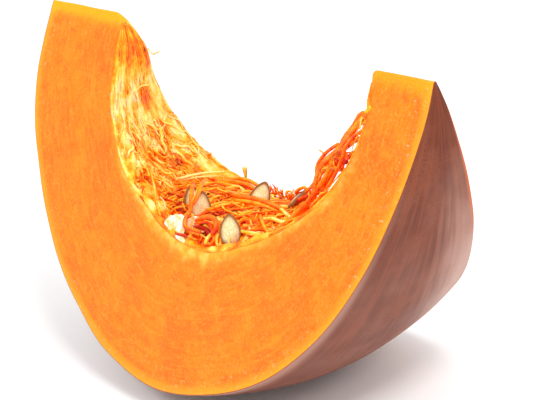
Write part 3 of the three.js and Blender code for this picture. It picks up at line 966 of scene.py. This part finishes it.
def mound_point(around, down, lift):
    """A point on the mound, or `lift` above it, for the two angles of a sphere."""
    def fuller(value):
        return math.copysign(abs(value) ** MOUND_BOXINESS, value)

    y = (MOUND_SIZE[1] + lift) * fuller(math.sin(around) * math.sin(down))
    top = (MOUND_SIZE[2] + lift) * fuller(math.cos(down)) - MOUND_FALL * max(0, y + MOUND_BROW) ** 2
    return Vector((
        MOUND_X + (MOUND_SIZE[0] + lift) * fuller(math.cos(around) * math.sin(down)),
        y, AXIS_HEIGHT - MOUND_DEPTH + top,
    ))


def mound_angles(across, inwards):
    """mound_point's two angles for a spot given as shares of the mound's half length and half width."""
    u = math.copysign(abs(across) ** (1 / MOUND_BOXINESS), across)
    v = math.copysign(abs(inwards) ** (1 / MOUND_BOXINESS), inwards)
    return math.atan2(v, u), math.asin(min(1, math.hypot(u, v)))


def mound_blush(around, down):
    """Orange on the side of the thicker arm, amber on the side of the thinner one."""
    return 0.72 - 0.36 * smooth_step(math.cos(around) * math.sin(down), -0.15, 0.6)


pulp_bm = bmesh.new()
blush_layer = pulp_bm.verts.layers.float.new("blush")
core = bmesh.ops.create_uvsphere(pulp_bm, u_segments=150, v_segments=70, radius=1.0)["verts"]
for corner in core:
    around, down = math.atan2(corner.co.y, corner.co.x), math.acos(max(-1, min(1, corner.co.z)))
    flat = mound_point(around, down, 0)
    folds = 1 - 2.4 * abs(noise.noise(Vector((flat.x / (14 * MM), flat.y / (5 * MM), flat.z / (5 * MM)))))
    lumps = 1.6 * noise.noise(flat / (9 * MM)) + 1.5 * folds
    lifted = mound_point(around, down, (lumps - 1.9) * MM * math.sin(down) ** 0.3)
    corner.co = above_floor(inside_cuts(lifted))
    # painted shade: the low folds between the lumps get a deeper blush, the raised lumps a paler one
    corner[blush_layer] = 1.5 * mound_blush(around, down) + 0.02 - 0.18 * lumps
bmesh.ops.recalc_face_normals(pulp_bm, faces=pulp_bm.faces)
print("pulp core:", len(pulp_bm.faces), "faces")

# %% [markdown]
# Between the mound and the near cut the wall is still covered with a torn layer of pulp. It is the
# same kind of felt as the lining, only redder, so the same helper makes it.

# %% Felt along the near rim
RIM_FELT = 2.4 * MM


def rim_blush(share, turn):
    """Amber at the rim and deeper towards the mound, in blotches."""
    blotches = noise.noise(Vector((share * 40, turn * 4, 9)))
    return 0.53 + 0.3 * smooth_step(turn, -0.8, -0.5) + 0.5 * blotches


felt(pulp_bm, (0.33, 0.68), (-FELT_TURN, -0.5), (130, 36), lambda share: RIM_FELT, rim_blush)
print("pulp core and felt:", len(pulp_bm.faces), "faces")

# %% [markdown]
# The tangle over the mound is drawn at random like the lining's fibres, in three groups: short ones,
# long ones, and short ones that stand up. Each starts at a spot chosen evenly over the mound and heads
# along it. Fibres laid from the mound's middle outwards would show a star there.

# %% Pulp fibres
MOUND_KNOTS = 5


def mound_fibre(spot, heading, bend, length, lift, radius, blush):
    """A fibre over the mound from a spot given as two shares; it bends as it goes."""
    across, inwards = spot
    stride = length / (MOUND_KNOTS - 1)
    points = []
    for index in range(MOUND_KNOTS):
        t = index / (MOUND_KNOTS - 1)
        height = lift * math.sin(math.pi * t) - 0.6 * MM + between(-0.5, 0.5) * MM
        points.append(above_floor(inside_cuts(mound_point(*mound_angles(across, inwards), height))))
        way = heading + bend * t + between(-0.35, 0.35)
        across = max(-0.98, min(0.98, across + stride * math.cos(way) / MOUND_SIZE[0]))
        inwards = max(-0.9, min(0.9, inwards + stride * math.sin(way) / MOUND_SIZE[1]))
    return fibre(points, radius, blush)


pulp_fibres = []
for count, lengths, lifts, radii in (
        (520, (7, 16), (0.2, 1.6), (0.25, 0.85)),
        (330, (16, 34), (0.6, 2.6), (0.3, 1.1)),
        (200, (6, 14), (0.6, 3.0), (0.25, 0.7))):
    for _ in range(count):
        spot = (between(-0.97, 0.97), between(-0.85, 0.85))
        pulp_fibres.append(mound_fibre(
            spot, between(-1.3, 1.3), between(-1.2, 1.2), between(*lengths) * MM, between(*lifts) * MM,
            thin_to_thick(*radii, 1.5), mound_blush(*mound_angles(*spot)) - between(-0.22, 0.48)))
print("fibres on the mound:", len(pulp_fibres))

# %% [markdown]
# The strands that cross the seeds and the split hull give this spot its character, so they are listed
# one by one: thick ones over the lower halves of the seeds, pale ones along the near rim, one painted
# the dark red of the shade in a deep gap, and a cream tuft at the far rim.

# %% Strands listed one by one
HAND_LAID = (
    (1.15, 0.66, [(-16, 77, -0.55), (-8.5, 81.5, -0.76), (-3, 87.5, -0.89), (-2.6, 92, -0.965),
                  (-1, 95, -0.975), (4, 95.4, -0.975), (9, 95.4, -0.95)]),
    (0.9, 0.6, [(-13, 75.5, -0.4), (-6.6, 77, -0.64), (-4, 80.5, -0.76), (-4, 84.5, -0.82)]),
    (0.5, 0.42, [(-12.5, 75.5, -0.42), (-7.6, 78, -0.68), (-5.4, 81, -0.78), (-5, 85, -0.86)]),
    (1.4, 0.7, [(-1.5, 92.5, -0.8), (6, 89, -0.86), (14, 88, -0.88), (18, 91, -0.91), (16.5, 95, -0.93)]),
    (1.0, 0.84, [(-2, 94, -0.82), (4, 92, -0.86), (11, 91, -0.87), (15, 94, -0.9)]),
    (0.6, 0.4, [(-39, 75, -0.8), (-32, 82.5, -0.86), (-27, 89, -0.91), (-21.5, 93.5, -0.94)]),
    (0.55, 0.36, [(2, 97, 0.62), (4.5, 93.5, 0.64), (8, 90, 0.66), (10, 91, 0.66), (9, 95, 0.64)]),
    (1.4, 0.66, [(-8, 84, 0.0), (2, 82, -0.12), (10, 82, -0.08), (20, 83, -0.02), (32, 87, 0.05)]),
    (1.3, 0.5, [(-6, 86, -0.04), (4, 84, -0.14), (12, 83.6, -0.1), (21, 85, -0.04), (32, 88.5, 0.0)]),
    (1.3, 0.96, [(20, 90, 0.2), (27, 86, 0.22), (33, 82, 0.24), (38, 79, 0.26)]),
    (1.2, 0.66, [(24, 91, 0.14), (33, 86, 0.14), (40, 81, 0.14), (52, 76, 0.1)]),
    (1.1, 0.4, [(-2, 88, -0.02), (6, 86.2, -0.06), (14, 86, -0.08), (22, 87.5, -0.06), (30, 90, -0.04)]),
    (1.4, 0.6, [(-40, 91.5, 0.46), (-30, 91, 0.46), (-22, 91.5, 0.48), (-12, 93, 0.5)]),
    (1.6, 0.88, [(12, 93, 0.6), (22, 89.5, 0.55), (32, 86, 0.5), (44, 83, 0.45)]),
    (1.4, 0.9, [(14, 91, 0.66), (23, 87, 0.62), (33, 83.5, 0.56), (44, 80, 0.5)]),
    (0.9, 0.46, [(14, 89, 0.64), (20, 85, 0.62), (26, 83, 0.58), (30, 87, 0.5)]),
    (0.9, 0.6, [(20, 92, 0.5), (30, 88, 0.45), (40, 84.5, 0.42), (50, 80, 0.4)]),
    (1.3, 0.66, [(-42, 92, 0.5), (-33, 91, 0.54), (-24, 91, 0.58), (-14, 93.5, 0.6)]),
    (1.1, 0.56, [(-40, 94, 0.66), (-32, 92.5, 0.7), (-22, 92.5, 0.7), (-10, 95.5, 0.66)]),
    (1.1, 0.72, [(-36, 94, 0.5), (-28, 93, 0.5), (-20, 93.4, 0.52), (-8, 94, 0.5)]),
    # painted shade: this strand is given the dark red of the shade in a deep gap
    (1.3, 1.15, [(-1, 95, -0.84), (5, 93.8, -0.87), (10, 94, -0.88), (14, 95.6, -0.88)]),
)
pulp_fibres += hand_laid(HAND_LAID, end=0.8)
UPWARDS = (0, 0, 1)
cream_root = place(-32 * MM, 95 * MM, 0.8)
pulp_fibres += tuft(cream_root, UPWARDS, 7.4 * MM, 0.26, 18, 0.7, (0.0, 0.2), 0.4 * MM)
for x in (-12, -6, 0, 5, 9):
    root = place(x * MM, 96 * MM, 0.68)
    pulp_fibres += tuft(root, UPWARDS, 6 * MM, 0.6, 8, 0.6, (0.4, 0.85), 1.2 * MM)
add_fibres(pulp_bm, pulp_fibres)
finish_piece("pulp_tangle", pulp_bm, wet, "pulp")

# %% [markdown]
# ## The web on the thinner arm
# Where the pulp was pulled out, thick strands hang between the mound and the thinner arm like a torn
# net, and the light shows between them. The main strands' routes are listed one by one; finer strands
# join them to each other and to the wall.

# %% Routes of the web
# the main strands: radius, route
WEB = [
    (1.8, [(104, 21, -0.9), (92, 34, -0.7), (83, 43, -0.55), (72, 52, -0.5), (67, 60, -0.43),
           (64, 70, -0.42), (56, 79, -0.45), (48, 88, -0.5)]),
    (1.4, [(104, 33, -0.85), (88, 41, -0.62), (80, 48, -0.52), (76, 58, -0.62), (68, 71, -0.72),
           (50, 90, -0.8)]),
    (1.2, [(108, 32, -0.6), (92, 43, -0.52), (76, 55, -0.38), (68, 66, -0.3), (48, 92, -0.2)]),
    (1.1, [(102, 50, -0.7), (84, 52, -0.6), (72, 54, -0.48), (66, 64, -0.4)]),
    (1.2, [(108, 42, 0.1), (92, 50, 0.1), (74, 66, 0), (50, 92, 0)]),
    (1.1, [(106, 54, 0.5), (80, 68, 0.42), (54, 92, 0.45)]),
]
# thinner strands between them: radius, blush, route
WEB_LINKS = (
    (1.0, 0.64, [(102.5, 26, -0.95), (98.5, 24.5, -0.85), (92.5, 31, -0.7), (85.5, 38.7, -0.6),
                 (83, 44.6, -0.55), (79, 49.5, -0.52), (75, 56, -0.5), (73, 63.5, -0.5), (73.5, 70, -0.6)]),
    (0.8, 0.64, [(102.5, 29, -0.93), (96.5, 29, -0.8), (92.5, 31.3, -0.7)]),
    (0.9, 0.64, [(82, 41, -0.55), (75.5, 45, -0.5), (70.5, 49, -0.45), (66.5, 54.7, -0.42),
                 (66.6, 58.3, -0.42), (64.7, 62.4, -0.42), (60.4, 67, -0.45)]),
    (0.8, 0.64, [(80.6, 47.3, -0.55), (76.5, 50.4, -0.5), (72, 55.4, -0.48), (70, 58.4, -0.48),
                 (71, 63, -0.5), (74, 66, -0.55), (69, 70.7, -0.6), (64.5, 74.2, -0.65)]),
    (0.9, 0.64, [(100.7, 32.3, -0.93), (93.6, 36.5, -0.8), (89.4, 42, -0.75), (89, 46.6, -0.78),
                 (87, 52.3, -0.8), (85, 58.5, -0.85), (81.7, 66, -0.9)]),
    (1.2, 0.9, [(83, 44.6, -0.55), (90, 44.6, -0.7), (92, 47.8, -0.8)]),
    (0.9, 0.9, [(82, 47, -0.56), (88, 48, -0.68), (90, 51, -0.78)]),
)
print("strands laid by hand:", len(WEB) + len(WEB_LINKS))

# %% Web strands
WEB_FELT = 1.8 * MM
MAIN_THINNER = 0.85  # the main strands' radii are scaled by this
JOINING_REACH = 16 * MM  # finer strands join points that are no further apart


def web_blush(share, turn):
    """Yellower towards the far cut, in blotches."""
    return 0.5 - 0.16 * turn + 0.3 * noise.noise(Vector((share * 30, turn * 3, 6)))


web_bm = bmesh.new()
felt(web_bm, (0.665, 0.985), (-FELT_TURN, FELT_TURN), (120, 80), lambda share: WEB_FELT, web_blush)
web_fibres = []
routes = [route_points(route) for _, route in WEB]
for (radius, _), points in zip(WEB, routes):
    web_fibres.append(fibre(points, radius * MAIN_THINNER * MM, between(0.5, 0.72), end=1.0))
    for _ in range(2):
        shifted = [point + Vector([between(-1.2, 1.2) * MM for _ in range(3)]) for point in points]
        web_fibres.append(fibre(shifted, between(0.3, 0.7) * MM, between(0.3, 0.72)))
web_fibres += hand_laid(WEB_LINKS, end=0.9)
for _ in range(34):
    first, second = random_draw.sample(routes[:4], 2)
    start, end = random_draw.choice(first), random_draw.choice(second)
    if (start - end).length < JOINING_REACH:
        middle = (start + end) / 2 + Vector([between(-2, 2) * MM for _ in range(3)])
        web_fibres.append(fibre([start, middle, end], between(0.25, 0.5) * MM, between(0.4, 0.7)))
for _ in range(260):
    web_fibres.append(wall_fibre(
        between(0.67, 0.95), between(-0.96, 0.9), between(-0.06, -0.02), between(-0.3, 0.3),
        between(1, 3) * MM, between(0.18, 0.5) * MM, between(0.15, 0.72)))
root = place(72 * MM, 47 * MM, -0.47)
web_fibres += tuft(root, (-1, 0, 0.35), 5 * MM, 0.4, 5, 0.35, (0.35, 0.6), 0.3 * MM)
print("fibres of the web:", len(web_fibres))
add_fibres(web_bm, web_fibres)
finish_piece("pulp_web_net", web_bm, wet, "pulp_web")

# %% [markdown]
# ## Seeds
# A squash seed is a flat teardrop: two faces a little crowned inside a raised brown rim. A sphere has
# the right faces for it: its rows lie closest together round the middle, which is where the rim is. So
# a sphere is flattened to the seed's profile, measured from its edge inwards, and tapered towards the
# tip. The split hulls are thinner and torn, so noise bends their outline.

# %% Sizes and places of the seeds
SEED_SIZE = (10, 15.6, 3.3)  # width, length and thickness in millimetres
SPLIT_SEED_SIZE = (8.4, 15, 2.2)
# a seed's middle as (x, depth, turn), which way its tip points, and which way one of its faces looks
SEEDS = {
    "seed_1": ((26, 91, -0.87), (-0.25, 0.25, 0.93), (0.7, -0.7, 0.15)),
    "seed_2": ((-7, 86.5, -0.6), (-0.05, 0.3, 0.95), (0.8, -0.5, 0.2)),
    "seed_3": ((-20, 87, -0.42), (-0.3, 0.1, 0.95), (0.9, -0.3, 0.3)),
    "seed_4": ((12, 82, 0.04), (0.12, 0.5, 0.85), (0.75, -0.55, 0.3)),
    "seed_5": ((28.4, 84, 0.3), (0.35, 0.7, 0.6), (-0.7, -0.35, 0.65)),
    "seed_6": ((-28, 97, 0.62), (0.9, 0.15, 0.3), (-0.1, 0.9, 0.4)),
    "seed_7": ((4, 101.5, 0.78), (-0.95, 0.1, 0.2), (0.1, 0.9, 0.45)),
    "seed_8": ((34, 100.5, 0.72), (0.85, 0, 0.45), (-0.2, 0.9, 0.4)),
}
CUT_SEEDS = {
    "cut_seed_1": ((-9.6, 94.2, -0.94), (-1, 0, 0.1), (0, -0.9, 0.4)),
    "cut_seed_2": ((1.5, 93.8, -0.85), (1, 0, 0.05), (0.1, -0.9, 0.4)),
}
print("seeds:", len(SEEDS), " split hulls:", len(CUT_SEEDS))

# %% Seed mesh
# a seed's thickness, and how brown its rim is, by the distance from its edge in millimetres
PROFILE = ((0, 0), (0.15, 0.18), (0.35, 0.29), (0.65, 0.28), (0.9, 0.19), (1.3, 0.22), (3, 0.4), (5, 0.5))
RIM_BROWN = ((0, 1), (0.7, 0.95), (1.1, 0.4), (2.4, 0))
RAGGED = 1.1 * MM  # how far a split hull's torn outline strays
DROOP = 3 * MM  # how far the nearer hull hangs down over the rim of the flesh


def seed_bmesh(size):
    """A flat teardrop round the origin, its tip towards +Y, with how brown each vertex is."""
    width, length, thickness = size
    seed_bm = bmesh.new()
    rim_layer = seed_bm.verts.layers.float.new("rim")
    bmesh.ops.create_uvsphere(seed_bm, u_segments=44, v_segments=26, radius=1.0)
    for corner in seed_bm.verts:
        across, along, up = corner.co
        inwards = (1 - math.hypot(across, along)) * width / 2
        height = np.interp(inwards, *zip(*PROFILE)) * thickness
        taper = 1 - 0.26 * along - 0.1 * along * along
        corner.co = Vector((across * width / 2 * taper, along * length / 2, math.copysign(height, up))) * MM
        corner[rim_layer] = np.interp(inwards, *zip(*RIM_BROWN))
    bmesh.ops.recalc_face_normals(seed_bm, faces=seed_bm.faces)
    return seed_bm


def tear(seed_bm, droop):
    """Frays a split hull, and lets its lower half hang by `droop`: a soft skin with nothing inside."""
    for corner in seed_bm.verts:
        lower = max(0, -corner.co.x / (SPLIT_SEED_SIZE[0] / 2 * MM))
        tipwards = max(0, corner.co.y / (SPLIT_SEED_SIZE[1] / 2 * MM))
        corner.co.x -= droop * (lower + 0.6 * tipwards * tipwards)
        corner.co.y -= 2.6 * droop * lower * lower
        corner.co.z += 0.75 * droop * lower * lower
        spot = Vector((corner.co.x, corner.co.y, 0))
        frayed = noise.noise_vector(spot / (2.2 * MM)) * RAGGED
        buckle = noise.noise(spot / (6 * MM)) * 1.4 * MM
        corner.co += Vector((frayed.x, frayed.y, buckle + frayed.z * 0.4))


def seed_pose(at, tip, face):
    """The matrix that moves a seed to its place and turns its tip and its face."""
    up = Vector(tip).normalized()
    side = up.cross(Vector(face)).normalized()
    front = side.cross(up)
    x, depth, turn = at
    centre = place(x * MM, depth * MM, turn)
    return Matrix.Translation(centre) @ Matrix((side, up, front)).transposed().to_4x4()


print("a seed's thickness in its middle, millimetres:", 2 * PROFILE[-1][1] * SEED_SIZE[2])

# %% [markdown]
# The seed coat is a smooth tan skin with a browner rim, a little glossy from the juice. A split hull
# shows the paler, wet inside of such a coat. Both are the mottling group with their own colours.

# %% Seed finishes
seed_coat, paint, shader = finish("seed_coat")
tone, relief = mottled(
    paint, (220, 200, 144), (236, 220, 172), (190, 158, 98), blotch=3 * MM, grain=0.8 * MM)
tone = paint.mix(paint.carried("rim"), tone, srgb(132, 76, 24))
paint.fill(
    shader, Base_Color=tone, Normal=paint.bump(relief, 0.25, 0.2 * MM), Roughness=0.36,
    Specular_IOR_Level=0.3, Coat_Weight=0.15, Coat_Roughness=0.15)

hull_coat, paint, shader = finish("split_hull")
tone, relief = mottled(
    paint, (255, 246, 228), (252, 200, 120), (240, 170, 90), blotch=3.4 * MM, grain=1.2 * MM)
paint.fill(shader, Base_Color=tone, Normal=paint.bump(relief, 0.3, 0.3 * MM), Roughness=0.3)
print("seed finishes:", seed_coat.name, hull_coat.name)

# %% [markdown]
# Each CAD seed is replaced by its fine mesh in the same place. One of the two split hulls hangs over
# the rim of the flesh, so its lower half droops.

# %% Place the seeds
for name, (at, tip, face) in {**SEEDS, **CUT_SEEDS}.items():
    split = name in CUT_SEEDS
    seed_bm = seed_bmesh(SPLIT_SEED_SIZE if split else SEED_SIZE)
    if split:
        tear(seed_bm, DROOP if name == "cut_seed_1" else 0)
    bmesh.ops.transform(seed_bm, matrix=seed_pose(at, tip, face), verts=seed_bm.verts)
    material, slot = (hull_coat, "cut_seed") if split else (seed_coat, "seed")
    finish_piece("fine_" + name, seed_bm, material, name)
